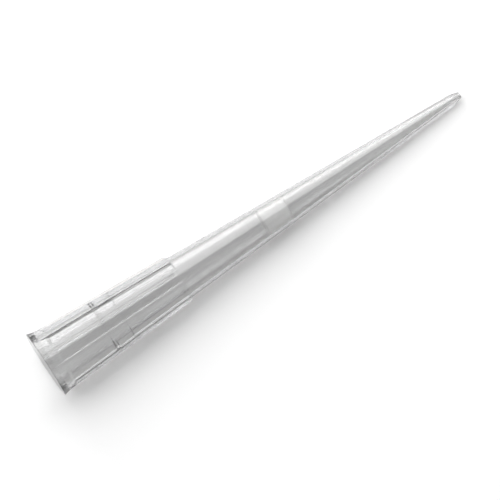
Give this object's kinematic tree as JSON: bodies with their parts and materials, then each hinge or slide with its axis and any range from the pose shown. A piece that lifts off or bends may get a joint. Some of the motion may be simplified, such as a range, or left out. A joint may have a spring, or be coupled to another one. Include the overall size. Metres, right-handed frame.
{
  "type": "filter pipette tip",
  "caption": "Slender translucent hollow cone with a flared mouth, a finned socket collar, a white porous plug in its bore and a fine bevelled outlet.",
  "frame": {"origin": "centre of the mouth's rim, which the tip stands on", "axes": "+Z along the tip's axis, from the wide mouth to the thin end; +X through the middle of one fin"},
  "size_m": [0.0072, 0.0072, 0.05],
  "materials": {
    "polypropylene": "natural translucent polypropylene, glossy with a faint haze",
    "porous_plug": "white sintered polyethylene, matte and fine-grained"
  },
  "bodies": {
    "root": {"tip_body": "polypropylene", "filter_plug": "porous_plug"}
  },
  "joints": []
}
